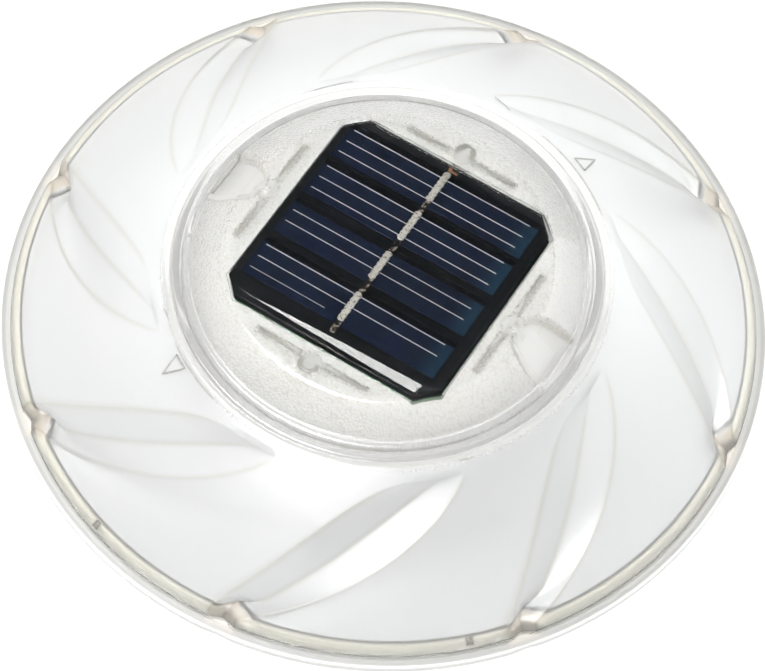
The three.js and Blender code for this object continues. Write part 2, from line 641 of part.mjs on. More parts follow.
addFloat();
addCase();
addPanel();
addLamp();
addParts();
addBattery();
addDoor();
addSwitch();
addWires();

export default light;
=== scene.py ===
"""Looks of a floating solar pool light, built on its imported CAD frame. Metres, +Z up, floor at zero."""

import json
import math

import bmesh
import bpy
import numpy as np
from mathutils import Matrix, Vector

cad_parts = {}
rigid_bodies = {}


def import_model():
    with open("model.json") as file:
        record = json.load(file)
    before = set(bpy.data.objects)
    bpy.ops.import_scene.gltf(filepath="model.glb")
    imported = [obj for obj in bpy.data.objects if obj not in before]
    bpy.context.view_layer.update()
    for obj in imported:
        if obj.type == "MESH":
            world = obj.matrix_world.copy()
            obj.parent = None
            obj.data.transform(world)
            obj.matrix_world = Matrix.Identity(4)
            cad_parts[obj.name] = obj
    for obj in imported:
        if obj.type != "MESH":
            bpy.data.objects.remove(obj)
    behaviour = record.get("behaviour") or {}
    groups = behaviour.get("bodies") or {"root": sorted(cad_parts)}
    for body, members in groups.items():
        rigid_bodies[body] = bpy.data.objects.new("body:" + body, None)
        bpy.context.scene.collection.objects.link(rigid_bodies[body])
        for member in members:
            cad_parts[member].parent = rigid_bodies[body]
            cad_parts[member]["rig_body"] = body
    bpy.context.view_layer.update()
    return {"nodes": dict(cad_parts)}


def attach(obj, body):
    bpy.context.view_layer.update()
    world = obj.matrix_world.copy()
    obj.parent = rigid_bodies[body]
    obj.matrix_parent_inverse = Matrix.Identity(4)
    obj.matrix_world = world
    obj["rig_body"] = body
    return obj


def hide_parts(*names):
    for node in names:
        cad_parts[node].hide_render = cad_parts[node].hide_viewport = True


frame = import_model()
NODES = frame["nodes"]
MM = 0.001

# ---------------------------------------------------------------- the object's dimensions, in millimetres
FLANGE_LOW = 29.8
MID_Z = 30.9  # the plane the two shells mirror about
FLANGE_HALF = 1.1
FLOAT_R = 89.95
FOOT_R = 87.3
EDGE_R = 85.1
EDGE_H = 3.6
COLLAR_R = 49.5
COLLAR_H = 21.7
BORE_R = 47.2
TUBE_R = 49.0
SPIGOT_R = 49.5
WALL = 1.8

VANES = 8
SECTOR = 360 / VANES
TIP_ANGLE = 21.7
TIP_R = 54.0
VANE_END_R = 86.0
VANE_DEPTH = 3.2

MODULE_TURN = math.radians(-28.6)
BAY_TURN = math.radians(45)
CAP_TOP = 58.2
PANEL = 56.3
PANEL_CHAMFER = 4.65
CELL_MIDDLES = (20.6, 9.0, -3.5, -16.3)
FINGER_ROWS = ((24.0, 20.6, 17.3), (12.4, 9.05, 5.65), (-1.8, -5.1), (-12.8, -16.2, -19.5))
FINGER_LEFT = -24.8
FINGER_RIGHT = 22.4


# ---------------------------------------------------------------- mesh helpers
def mesh_object(name, points, faces, body, materials, face_materials=None, values=None):
    """A smooth-shaded mesh in metres that rides on a body, with optional float values at its points."""
    mesh = bpy.data.meshes.new(name)
    mesh.from_pydata([tuple(p) for p in points], [], faces)
    mesh.polygons.foreach_set("use_smooth", [True] * len(mesh.polygons))
    for material in materials:
        mesh.materials.append(material)
    if face_materials is not None:
        mesh.polygons.foreach_set("material_index", face_materials)
    for key, numbers in (values or {}).items():
        layer = mesh.attributes.new(key, "FLOAT", "POINT")
        layer.data.foreach_set("value", np.asarray(numbers, dtype=np.float32))
    obj = bpy.data.objects.new(name, mesh)
    bpy.context.scene.collection.objects.link(obj)
    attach(obj, body)
    return obj


def loop_faces(rows, columns):
    """Quads of a grid that closes on itself both ways."""
    faces = []
    for j in range(rows):
        k = (j + 1) % rows
        for i in range(columns):
            n = (i + 1) % columns
            faces.append((j * columns + i, j * columns + n, k * columns + n, k * columns + i))
    return faces


def outward(points, faces):
    """The faces turned so that the solid's volume is positive."""
    p = np.asarray(points)
    total = 0.0
    for face in faces:
        for b, c in zip(face[1:], face[2:]):
            total += np.dot(p[face[0]], np.cross(p[b], p[c]))
    return faces if total > 0 else [tuple(reversed(face)) for face in faces]


def turned(name, profile, centre, body, material, columns=40):
    """A ring-shaped solid of revolution from a closed (radius, height) loop in millimetres."""
    angles = np.linspace(0, 2 * math.pi, columns, endpoint=False)
    points = [(centre[0] + r * math.cos(a), centre[1] + r * math.sin(a), z) for r, z in profile for a in angles]
    points = np.array(points) * MM
    return mesh_object(name, points, outward(points, loop_faces(len(profile), columns)), body, [material])


def rotated(points, angle):
    """Points turned about the vertical axis."""
    c, s = math.cos(angle), math.sin(angle)
    p = np.array(points, dtype=float)
    x, y = p[:, 0].copy(), p[:, 1].copy()
    p[:, 0], p[:, 1] = x * c - y * s, x * s + y * c
    return p


def refine(node, material, bevel=0.15, angle=35):
    """A welded, bevelled, smooth-shaded copy of a CAD node that stands for it."""
    source = NODES[node]
    mesh = source.data.copy()
    mesh.name = node + "_body"
    bm = bmesh.new()
    bm.from_mesh(mesh)
    bmesh.ops.remove_doubles(bm, verts=bm.verts, dist=2e-6)
    flat = [e for e in bm.edges if len(e.link_faces) == 2 and e.calc_face_angle(4) < math.radians(0.4)]
    bmesh.ops.dissolve_edges(bm, edges=flat, use_verts=False)
    limit = math.radians(angle)
    for face in bm.faces:
        face.smooth = True
    for edge in bm.edges:
        edge.smooth = len(edge.link_faces) == 2 and edge.calc_face_angle(4) < limit
    bm.to_mesh(mesh)
    bm.free()
    mesh.materials.clear()
    mesh.materials.append(material)
    obj = bpy.data.objects.new(node + "_body", mesh)
    bpy.context.scene.collection.objects.link(obj)
    if bevel:
        rounding = obj.modifiers.new("rounding", "BEVEL")
        rounding.width = bevel * MM
        rounding.segments = 2
        rounding.limit_method = "ANGLE"
        rounding.angle_limit = limit
        rounding.use_clamp_overlap = True
        rounding.harden_normals = False
    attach(obj, source["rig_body"])
    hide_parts(node)
    return obj


# ---------------------------------------------------------------- material helpers
class Shader:
    """A Principled material and short calls that add nodes to it."""

    def __init__(self, name):
        self.material = bpy.data.materials.new(name)
        self.material.use_nodes = True
        self.tree = self.material.node_tree
        self.bsdf = self.tree.nodes["Principled BSDF"]
        self.space = self.tree.nodes.new("ShaderNodeTexCoord").outputs["Object"]

    def set(self, **sockets):
        """Constants on the shader's own sockets."""
        for key, value in sockets.items():
            self.bsdf.inputs[key.replace("_", " ")].default_value = value
        return self

    def put(self, socket, value):
        """Links a node's output to a socket of the shader."""
        self.tree.links.new(value, self.bsdf.inputs[socket])

    def feed(self, node, socket, value):
        """Links a socket to a node's input, or sets the input to a constant."""
        if isinstance(value, bpy.types.NodeSocket):
            self.tree.links.new(value, node.inputs[socket])
        else:
            node.inputs[socket].default_value = value

    def noise(self, size, detail=3.0, roughness=0.55, stretch=None, distortion=0.0):
        """Noise between 0 and 1 with lumps of about that size in millimetres."""
        node = self.tree.nodes.new("ShaderNodeTexNoise")
        node.inputs["Scale"].default_value = 1 / (size * MM)
        node.inputs["Detail"].default_value = detail
        node.inputs["Roughness"].default_value = roughness
        node.inputs["Distortion"].default_value = distortion
        self.feed(node, "Vector", self.stretched(stretch) if stretch else self.space)
        return node.outputs["Fac"]

    def cells(self, size):
        """Distance to the nearest of scattered points, about that size in millimetres apart."""
        node = self.tree.nodes.new("ShaderNodeTexVoronoi")
        node.inputs["Scale"].default_value = 1 / (size * MM)
        self.feed(node, "Vector", self.space)
        return node.outputs["Distance"]

    def stretched(self, scale, turn=0.0):
        """Object coordinates, scaled and turned about the vertical."""
        node = self.tree.nodes.new("ShaderNodeMapping")
        node.inputs["Scale"].default_value = scale
        node.inputs["Rotation"].default_value = (0, 0, turn)
        self.feed(node, "Vector", self.space)
        return node.outputs["Vector"]

    def maths(self, operation, a, b=0.5):
        """One arithmetic step on values or sockets."""
        node = self.tree.nodes.new("ShaderNodeMath")
        node.operation = operation
        self.feed(node, 0, a)
        self.feed(node, 1, b)
        return node.outputs[0]

    def span(self, value, low, high, to_low=0.0, to_high=1.0, smooth=True):
        """Maps a range of a value to another range, clamped."""
        node = self.tree.nodes.new("ShaderNodeMapRange")
        node.interpolation_type = "SMOOTHSTEP" if smooth else "LINEAR"
        for socket, number in (("Value", value), ("From Min", low), ("From Max", high),
                               ("To Min", to_low), ("To Max", to_high)):
            self.feed(node, socket, number)
        return node.outputs["Result"]

    def blend(self, factor, a, b):
        """Mixes two colours."""
        node = self.tree.nodes.new("ShaderNodeMix")
        node.data_type = "RGBA"
        self.feed(node, 0, factor)
        for socket, value in ((6, a), (7, b)):
            self.feed(node, socket, value if isinstance(value, bpy.types.NodeSocket) else (*value, 1))
        return node.outputs[2]

    def radius(self):
        """Distance from the vertical axis, in metres."""
        split = self.tree.nodes.new("ShaderNodeSeparateXYZ")
        self.feed(split, 0, self.space)
        squares = self.maths("ADD", self.maths("POWER", split.outputs[0], 2.0),
                             self.maths("POWER", split.outputs[1], 2.0))
        return self.maths("SQRT", squares)

    def part(self, axis, turn=0.0):
        """One coordinate in metres, in axes turned about the vertical."""
        split = self.tree.nodes.new("ShaderNodeSeparateXYZ")
        self.feed(split, 0, self.stretched((1, 1, 1), turn))
        return split.outputs[axis]

    def value_of(self, name):
        """A float attribute of the mesh."""
        node = self.tree.nodes.new("ShaderNodeAttribute")
        node.attribute_name = name
        return node.outputs["Fac"]

    def bump(self, height, depth, strength=1.0):
        """Bump of that depth in millimetres."""
        node = self.tree.nodes.new("ShaderNodeBump")
        node.inputs["Strength"].default_value = strength
        node.inputs["Distance"].default_value = depth * MM
        self.feed(node, "Height", height)
        self.put("Normal", node.outputs["Normal"])
        return self


def frosted():
    """Frosted clear plastic: matte over the domes, polished at the collar and the rim, with painted shade: dark
    lines along the creases and edges, a tan tint where the grooves run into the rim, and grey tints on the lip and
    flange.
    """
    s = Shader("frosted_float").set(IOR=1.49)
    r = s.radius()
    clear = s.maths("MULTIPLY", s.span(r, 0.052, 0.072, 0.74, 0.87), s.span(r, 0.0891, 0.0895, 1.0, 0.35))
    s.put("Transmission Weight", clear)
    dome = s.maths("MULTIPLY", s.span(r, 0.0500, 0.0525), s.span(r, 0.0873, 0.0871))
    grain = s.noise(0.35, detail=2.0)
    cloud = s.noise(14.0, detail=2.0)
    rough = s.maths("MULTIPLY_ADD", dome, s.span(grain, 0.3, 0.7, 0.15, 0.2))
    rough.node.inputs[2].default_value = 0.14
    s.put("Roughness", s.maths("ADD", rough, s.span(r, 0.0872, 0.0875, 0.0, 0.34)))
    white = s.blend(cloud, (0.885, 0.893, 0.898), (0.905, 0.907, 0.900))
    collar = s.blend(cloud, (0.96, 0.958, 0.94), (0.975, 0.97, 0.95))
    band = s.blend(cloud, (0.935, 0.922, 0.845), (0.96, 0.948, 0.88))
    # The lip and flange tints are greys darker than the plastic: painted shade that damps the floor's glow and the
    # softbox highlight seen through the clear rim.
    lip = s.blend(cloud, (0.62, 0.62, 0.60), (0.66, 0.66, 0.64))
    flange = s.blend(cloud, (0.49, 0.49, 0.47), (0.53, 0.53, 0.515))
    base = s.blend(dome, collar, white)
    base = s.blend(s.span(r, 0.0848, 0.0850), base, band)
    base = s.blend(s.span(r, 0.0873, 0.0875), base, lip)
    base = s.blend(s.span(r, 0.0881, 0.0886), base, flange)
    # The outer edge's light grey is painted shade in the same way.
    base = s.blend(s.span(r, 0.0892, 0.0895), base, (0.80, 0.80, 0.78))
    # Two thin dark lines, where the dome meets the rim band and where the band turns into the lip: painted shade
    # along these creases.
    crease_shade_width = 0.00013
    for line, tone in ((0.0848, (0.92, 0.90, 0.82)), (0.0874, (0.66, 0.65, 0.60))):
        off = s.maths("ABSOLUTE", s.maths("SUBTRACT", r, line))
        base = s.blend(s.span(off, crease_shade_width * 0.4, crease_shade_width * 1.4, 1.0, 0.0), base, tone)
    # A tan tint painted where each groove runs into the rim band: painted shade in the groove's end.
    facet = s.value_of("facet")
    base = s.blend(s.maths("MULTIPLY", facet, 0.75), base, (0.79, 0.73, 0.65))
    # Dark lines painted along each groove's crease and its leaf's edges, stronger where the grooves meet the rim:
    # painted shade in the creases.
    line = s.maths("MULTIPLY", s.value_of("crease"), s.span(facet, 0, 1, 0.5, 1.0))
    s.put("Base Color", s.blend(line, base, s.blend(facet, (0.68, 0.66, 0.58), (0.62, 0.56, 0.49))))
    s.bump(grain, 0.006, 0.3)
    return s.material


def clear_cap():
    """The cap's outside: clear, with dark lines of painted shade where the scoops and the chamfer begin, milky at
    the outer lip.
    """
    s = Shader("clear_cap").set(IOR=1.49)
    tone = s.blend(s.noise(9.0), (0.985, 0.985, 0.97), (0.992, 0.99, 0.98))
    veil = s.value_of("veil")
    s.put("Transmission Weight", s.span(veil, 0, 1, 1.0, 0.6))
    s.put("Roughness", s.span(veil, 0, 1, 0.03, 0.25))
    # The edge value darkens the colour: painted shade along the scoops' walls and the chamfer.
    s.put("Base Color", s.blend(s.maths("MULTIPLY", s.value_of("edge"), 0.6), tone, (0.70, 0.68, 0.61)))
    s.bump(s.noise(5.0, detail=1.0), 0.008, 0.4)
    return s.material


def clear_rib():
    """Uneven clear plastic of the ribs and bosses under the cap."""
    s = Shader("clear_rib").set(IOR=1.49, Transmission_Weight=1.0)
    s.put("Base Color", s.blend(s.noise(1.2), (0.86, 0.85, 0.80), (0.95, 0.94, 0.91)))
    s.put("Roughness", s.span(s.noise(0.8), 0.3, 0.7, 0.03, 0.12))
    s.bump(s.noise(0.9), 0.05, 0.6)
    return s.material


def stippled():
    """The cap's underside: pebbled and milky round the panel, smooth under the scoops, clear over the panel, with
    painted shade in broken dark outlines round the ribs and bosses.
    """
    s = Shader("stippled_clear").set(IOR=1.49)
    grains = s.cells(0.62)
    pebble = s.maths("ADD", grains, s.maths("MULTIPLY", s.noise(0.35, detail=2.0), 0.6))
    textured, veil = s.value_of("texture"), s.value_of("veil")
    ivory = s.blend(s.noise(11.0, detail=1.0), (0.965, 0.953, 0.92), (0.988, 0.986, 0.975))
    speck = s.maths("MULTIPLY", s.span(grains, 0.5, 0.8), textured)
    tone = s.blend(s.maths("MULTIPLY", speck, 0.5), ivory, (0.80, 0.76, 0.68))
    # Broken dark outlines painted round the ribs and bosses: painted shade at their clear edges.
    broken = s.span(s.noise(0.8), 0.3, 0.7, 0.1, 0.9)
    tone = s.blend(s.maths("MULTIPLY", s.value_of("outline"), broken), tone, (0.36, 0.33, 0.27))
    s.put("Base Color", s.blend(veil, (0.99, 0.99, 0.985), tone))
    s.put("Transmission Weight", s.span(veil, 0, 1, 1.0, 0.32, smooth=False))
    s.put("Roughness", s.span(veil, 0, 1, 0.02, 0.45, smooth=False))
    s.bump(s.maths("MULTIPLY", pebble, textured), 0.16, 0.9)
    return s.material


def plain(name, low, high, roughness, size=3.0, bump=0.02, grain=0.3, **sockets):
    """Moulded plastic: two close tones, a rough band and a fine grain."""
    s = Shader(name).set(**sockets)
    cloud = s.noise(size)
    s.put("Base Color", s.blend(cloud, low, high))
    s.put("Roughness", s.span(s.noise(size * 0.4), 0.3, 0.7, roughness[0], roughness[1]))
    s.bump(s.noise(grain, detail=2.0), bump, 0.5)
    return s.material


# ---------------------------------------------------------------- float
def dome_height(r):
    """Height of the dome above the middle plane: a parabola from the collar down to the rounded edge."""
    run = r - COLLAR_R
    reach = EDGE_R - COLLAR_R
    slope = 0.36
    bend = (COLLAR_H - EDGE_H - slope * reach) / reach ** 2
    return COLLAR_H - slope * run - bend * run * run


def smoothstep(x, low, high):
    """Eased step from 0 to 1 between two values."""
    t = np.clip((x - low) / (high - low), 0, 1)
    return t * t * (3 - 2 * t)


# where the columns of the float's grid stand across each stretch of a leaf, 0 to 1
OUTER_WALL = [0, 0.03, 0.1, 0.22, 0.36, 0.5, 0.64, 0.76, 0.86, 0.93, 0.97]
INNER_WALL = [0, 0.06, 0.16, 0.32, 0.5, 0.68, 0.84, 0.95]
BETWEEN = [0, 0.015, 0.05] + [0.1 + 0.043 * k for k in range(20)] + [0.96, 0.985]


def vane_columns():
    """One entry per column round the float: vane, stretch of the leaf, place along that stretch."""
    entries = []
    for vane in range(VANES):
        for stretch, places in enumerate((OUTER_WALL, INNER_WALL, BETWEEN)):
            entries += [(vane, stretch, place) for place in places]
    return entries


COLUMNS = vane_columns()


def leaf_lags(r):
    """Degrees that the outer edge, crease and inner edge of a leaf trail its tip at a radius."""
    t = float(np.clip((r - TIP_R) / (VANE_END_R - TIP_R), 0, 1))
    return 40.5 * t ** 1.18, 4 + 38.5 * t ** 0.65, 12 + 33 * t ** 0.5


def groove(distance):
    """Depth of a V with a rounded bottom, by the distance from its crease to its edge, 0 to 1."""
    soft = 0.05
    top = math.sqrt(1 + soft * soft)
    return (top - math.sqrt(distance * distance + soft * soft)) / (top - soft)


def shell_points(profile, side):
    """The grid of one shell: each profile row is [radius, height from the middle plane, groove share]."""
    points, crease, facet = [], [], []
    for r, h, share in profile:
        outer, middle, inner = leaf_lags(r)
        run = float(np.clip((r - TIP_R) / (VANE_END_R - TIP_R), 0, 1))
        lean = float(smoothstep(r, EDGE_R - 6, FOOT_R)) * math.pi / 2
        for vane, stretch, place in COLUMNS:
            if stretch == 0:
                lag, sink = outer + (middle - outer) * place, groove(1 - place)
            elif stretch == 1:
                lag, sink = middle + (inner - middle) * place, groove(place)
            else:
                lag, sink = inner + (SECTOR + outer - inner) * place, 0
            depth = share * sink * VANE_DEPTH * run ** 0.45
            room = max(0, h - FLANGE_HALF - 0.1) * 0.85
            a = math.radians(TIP_ANGLE - vane * SECTOR - lag)
            rr = r - depth * math.sin(lean)
            z = MID_Z + side * (h - min(room, depth * math.cos(lean)))
            points.append((rr * math.cos(a), rr * math.sin(a), z))
            # crease and facet are masks for painted shade: dark lines along the creases and edges, and a tan tint
            # where the grooves run into the rim.
            edge = min(place, 1 - place) if stretch < 2 else min(place, 1 - place) * 4
            at_line = math.exp(-(edge / 0.07) ** 2) * min(1, run * 12)
            crease.append(at_line * (share if r < 84.7 else min(1, share * 1.8)))
            inside = 1.0 if stretch < 2 else 0.0
            facet.append(inside * float(smoothstep(r, 84.7, 85.0) * (1 - smoothstep(r, 88.4, 88.9))))
    return np.array(points) * MM, crease, facet


def dome_rows(drop):
    """Profile rows over the grooved part of the dome, lowered by a wall's thickness or by nothing."""
    radii = [54.15, 54.4, 54.8, 55.4, 56.2, 57.2] + list(np.arange(58.5, 84.0, 1.25)) + [84.4]
    return [(r, dome_height(r) - drop, 1) for r in radii]


def shell(name, node, profile, side, material):
    """One shell of the float, in place of its CAD node."""
    points, crease, facet = shell_points(profile, side)
    faces = outward(points, loop_faces(len(profile), len(COLUMNS)))
    obj = mesh_object(name, points, faces, "float", [material], values={"crease": crease, "facet": facet})
    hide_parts(node)
    return obj


def build_float(material):
    """The two shells: domes with eight leaf-shaped grooves, the upper with the tube, the lower with the flange."""
    inner = dome_rows(WALL * 1.08)
    collar = [
        (52.5, dome_height(52.5), 0), (51.2, dome_height(51.2), 0), (50.3, dome_height(50.3), 0),
        (49.85, 21.15, 0), (49.55, 21.2, 0), (49.45, 21.5, 0), (49.2, 21.66, 0), (48.8, COLLAR_H, 0),
        (47.7, COLLAR_H, 0), (47.35, 21.6, 0), (BORE_R, 21.3, 0),
    ]
    rim = [
        (84.9, EDGE_H + 0.06, 0.9), (85.1, EDGE_H - 0.02, 0.85), (85.5, 3.42, 0.75), (86.1, 3.0, 0.65),
        (86.6, 2.5, 0.55), (87.0, 1.95, 0.45), (87.25, 1.5, 0.4), (FOOT_R, 1.2, 0.35),
    ]
    upper = (
        [(BORE_R, -19.4, 0), (TUBE_R, -19.4, 0), (TUBE_R, 19.9, 0), (52.0, 18.7, 0)]
        + inner
        + [(84.0, 2.4, 1), (85.3, 1.2, 1)]
        + rim[::-1]
        + dome_rows(0)[::-1]
        + [(TIP_R, dome_height(TIP_R), 0)]
        + collar
        + [(BORE_R, 10.0, 0)]
    )
    shell("float_upper", "float_upper_shell", upper, 1, material)
    lower = (
        [(BORE_R, 19.7, 0), (SPIGOT_R, 19.7, 0), (SPIGOT_R, 4.9, 0), (51.3, 4.9, 0), (51.3, 18.9, 0),
         (53.0, 18.3, 0)]
        + inner
        + [(83.4, 1.7, 1), (83.9, -0.6, 1), (84.6, -1.1, 0.6), (87.0, -1.1, 0.3), (89.5, -1.1, 0.1),
           (89.85, -0.95, 0.1), (FLOAT_R, -0.6, 0.1), (FLOAT_R, 0.6, 0.1), (89.85, 0.95, 0.1), (89.5, 1.1, 0.1),
           (89.4, 1.1, 0.1), (87.85, 1.1, 0.2), (87.7, 1.1, 0.25), (87.35, 1.25, 0.35)]
        + rim[::-1]
        + dome_rows(0)[::-1]
        + [(TIP_R, dome_height(TIP_R), 0)]
        + collar
    )
    shell("float_lower", "float_lower_shell", lower, -1, material)


def on_dome(r, angle):
    """A point of the upper dome's outside, in metres."""
    a = math.radians(angle)
    return Vector((r * math.cos(a), r * math.sin(a), MID_Z + dome_height(r))) * MM


def raised_line(name, path, width, material):
    """A moulded line that stands a little proud of the upper dome along (radius, angle) points."""
    stations = []
    for (r0, a0), (r1, a1) in zip(path, path[1:]):
        length = math.hypot(r1 - r0, math.radians(a1 - a0) * (r0 + r1) / 2)
        count = max(2, int(length / 0.6))
        stations += [(r0 + (r1 - r0) * k / count, a0 + (a1 - a0) * k / count) for k in range(count)]
    stations.append(path[-1])
    middle = [on_dome(r, a) for r, a in stations]
    points, faces = [], []
    for k, spot in enumerate(middle):
        along = middle[min(k + 1, len(middle) - 1)] - middle[max(k - 1, 0)]
        side = along.cross(Vector((0, 0, 1))).normalized() * width / 2 * MM
        up = Vector((0, 0, MM))
        points += [spot - side - up * 0.15, spot - side * 0.5 + up * 0.16, spot + side * 0.5 + up * 0.16,
                   spot + side - up * 0.15]
    for k in range(len(middle) - 1):
        for m in range(4):
            n = (m + 1) % 4
            faces.append((4 * k + m, 4 * k + n, 4 * k + 4 + n, 4 * k + 4 + m))
    last = 4 * (len(middle) - 1)
    faces += [(3, 2, 1, 0), (last, last + 1, last + 2, last + 3)]
    obj = mesh_object(name, points, outward(points, faces), "float", [material])


def build_marks():
    """Alignment arcs, ticks and two small open symbols moulded on the upper dome beside the collar."""
    s = Shader("moulded_line").set(IOR=1.49, Transmission_Weight=0.85)
    s.put("Base Color", s.blend(s.noise(2.0), (0.64, 0.63, 0.59), (0.76, 0.75, 0.71)))
    s.put("Roughness", s.span(s.noise(0.6), 0.3, 0.7, 0.15, 0.3))
    arcs = (((51.9, 20.7), (51.9, 48.8)), ((51.9, 207.3), (51.9, 225.5)), ((54.7, 65.8), (52.9, 60.4)),
            ((51.4, 114.2), (51.9, 102.8)), ((51.2, 291.4), (51.4, 294.9)), ((52.0, 196.6), (51.3, 198.6)))
    for k, path in enumerate(arcs):
        raised_line(f"float_tick_{k + 1}", path, 0.3, s.material)
    for k, angle in enumerate((225.2, 286.0)):
        raised_line(f"float_tab_{k + 1}", ((85.3, angle), (86.7, angle)), 1.8, s.material)
    for k, (r, angle) in enumerate(((56.2, 37.0), (54.9, 212.0))):
        half = 2.3
        swing = math.degrees(half / r)
        triangle = [(r - half, angle - swing * 0.9), (r + half, angle), (r - half, angle + swing * 0.9),
                    (r - half, angle - swing * 0.9)]
        raised_line(f"float_symbol_{k + 1}", triangle, 0.6, s.material)


# ---------------------------------------------------------------- cap of the module
def scoop_half_width(u):
    """Half width of a finger scoop at a distance from the axis."""
    q = np.clip((45.2 - u) / 11.4, 0, 1)
    return 6.4 * (1 - q ** 2.6) ** 0.55


def scooped(x, y, z, grow, drop):
    """Height of the cap's surface after the two scoops, in the module's own axes."""
    u = np.abs(x)
    side = scoop_half_width(u) - np.abs(y) + grow
    side = np.where((u > 33.8 - grow) & (u < 46.0), side, -5.0)
    inside = smoothstep(side, 0.0, 0.7) * smoothstep(45.25 + grow - u, 0.0, 0.5)
    hollow = 0.35 * np.clip(1 - (y / 6.4) ** 2, 0, 1)
    floor = 57.1 - 0.5614 * (u - 33.8) - hollow - drop
    return z + inside * (np.minimum(floor, z) - z)


def build_cap(clear, stipple, rib_material):
    """The module's cap with its two finger scoops, and the bosses and ribs under it."""
    outer = [(0.01, CAP_TOP), (0.05, CAP_TOP), (0.3, CAP_TOP), (10, 58.18), (20, 58.1), (28, 58.0)]
    outer += [(r, 57.95) for r in (30, 31.5)]
    outer += [(r, 57.93) for r in np.arange(32.4, 37.3, 0.35)]
    outer += [(37.6, 57.88), (37.95, 57.76), (38.25, 57.58), (38.6, 57.36)]
    outer += [(r, 57.36 - (r - 38.6) * 0.62) for r in np.arange(38.95, 44.5, 0.35)]
    outer += [(44.6, 53.62), (44.75, 53.48), (44.9, 53.39), (45.05, 53.35)]
    outer += [(r, 53.32) for r in np.arange(45.2, 46.1, 0.15)]
    outer += [(46.6, 53.22), (46.85, 53.0), (46.95, 52.7), (46.98, 52.3), (46.98, 49.0), (46.7, 48.6), (46.7, 44.6),
              (46.6, 44.5)]
    inner = [(45.35, 44.5), (45.25, 44.6), (45.25, 48.4), (45.25, 51.6), (45.1, 51.85)]
    inner += [(r, 51.9 + (44.6 - r) * 0.62) for r in np.arange(44.8, 37.4, -0.4)]
    inner += [(37.2, 56.4), (36.8, 56.5)]
    inner += [(r, 56.55) for r in np.arange(36.2, 32.4, -0.4)]
    inner += [(r, 56.58) for r in np.arange(32.3, 26.9, -0.35)]
    inner += [(26.5, 56.6), (20, 56.6), (10, 56.6), (0.3, 56.6), (0.05, 56.6), (0.01, 56.6)]
    columns = 540
    angles = np.linspace(0, 2 * math.pi, columns, endpoint=False)
    grid = []
    for j, (r, z) in enumerate(outer + inner):
        x, y = r * np.cos(angles), r * np.sin(angles)
        if z < 50.0:
            height = np.full(columns, z)
        elif j < len(outer):
            height = scooped(x, y, np.full(columns, z), 0.0, 0.0)
        else:
            height = scooped(x, y, np.full(columns, z), 1.3, 1.5)
        grid.append(np.stack([x, y, height], axis=1))
    points = rotated(np.concatenate(grid), MODULE_TURN) * MM
    rows = len(grid)
    faces = outward(points, loop_faces(rows, columns))
    smooth_rows = len(outer)
    chosen = [0 if j < smooth_rows or j == rows - 1 else 1 for j in range(rows) for _ in range(columns)]
    flat = np.concatenate(grid)
    px, py = np.abs(flat[:, 0] - 0.5), np.abs(flat[:, 1] - 0.2) - 0.6
    over_panel = np.maximum(px, py) - PANEL / 2
    over_panel = np.maximum(over_panel, (px + py - PANEL + PANEL_CHAMFER) * 0.707)
    u = np.abs(flat[:, 0])
    in_scoop = np.where(u > 33.0, scoop_half_width(u) + 0.6 - np.abs(flat[:, 1]), -1)
    round_panel = smoothstep(over_panel, 0.1, 0.6)
    smooth_floor = smoothstep(in_scoop, 0.0, 0.6)
    texture = round_panel * (1 - smooth_floor)
    veil = round_panel * (0.9 + 0.1 * smooth_floor)
    outlines = np.zeros(len(flat))
    for across, along in ((flat[:, 0], flat[:, 1]), (flat[:, 1], flat[:, 0])):
        to_rib = np.maximum(np.abs(np.abs(across) - 31.95) - 0.75, np.abs(np.abs(along) - 8.85) - 5.75)
        to_boss = np.hypot(np.abs(across) - 33.0, along) - 2.7
        near = np.minimum(to_rib, to_boss)
        texture = np.where(near < 0, 0, texture)
        veil = np.where(near < 0, veil * 0.8, veil)
        # The outline values place the painted shade round the ribs and bosses.
        outlines = np.maximum(outlines, np.exp(-(to_rib / 0.3) ** 2))
        outlines = np.maximum(outlines, 0.4 * np.exp(-(to_boss / 0.3) ** 2))
    outlines[:len(outer) * columns] = 0
    # The edge values place the cap's painted shade: dark lines along the scoops' sides, heavier on their +y side,
    # across their outer ends, and faint at the chamfer.
    from_side = np.where(u > 33.9, scoop_half_width(u) - np.abs(flat[:, 1]), 5)
    weight = 0.25 + 0.75 * smoothstep(flat[:, 1], -5.0, 0.0)
    edge = np.exp(-((from_side - 0.3) / 0.4) ** 2) * weight * (u < 45.3)
    edge = np.maximum(edge, np.exp(-((u - 44.95) / 0.25) ** 2) * (from_side > 0))
    around = np.hypot(flat[:, 0], flat[:, 1])
    edge = np.maximum(edge, 0.4 * np.exp(-((around - 38.3) / 0.3) ** 2))
    edge[len(outer) * columns:] = 0
    veil[:len(outer) * columns] = smoothstep(around[:len(outer) * columns], 44.7, 45.3) * 0.5
    obj = mesh_object("cap_shell", points, faces, "module", [clear, stipple], chosen,
                      {"texture": texture, "edge": edge, "veil": veil, "outline": outlines})
    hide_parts("module_cap")
    for k in range(4):
        turn = MODULE_TURN + k * math.pi / 2
        at = (33.0 * math.cos(turn), 33.0 * math.sin(turn))
        top = 54.3 if k % 2 == 0 else 56.57
        boss = turned(f"cap_boss_{k + 1}", [
            (1.1, 52.8), (2.5, 52.8), (2.7, 53.0), (2.75, top - 0.2), (2.6, top), (1.4, top), (1.1, top - 0.25),
        ], at, "module", rib_material)
        for side in (-1, 1):
            rib = build_rib(f"cap_rib_{2 * k + (side + 3) // 2}", side, turn, rib_material)


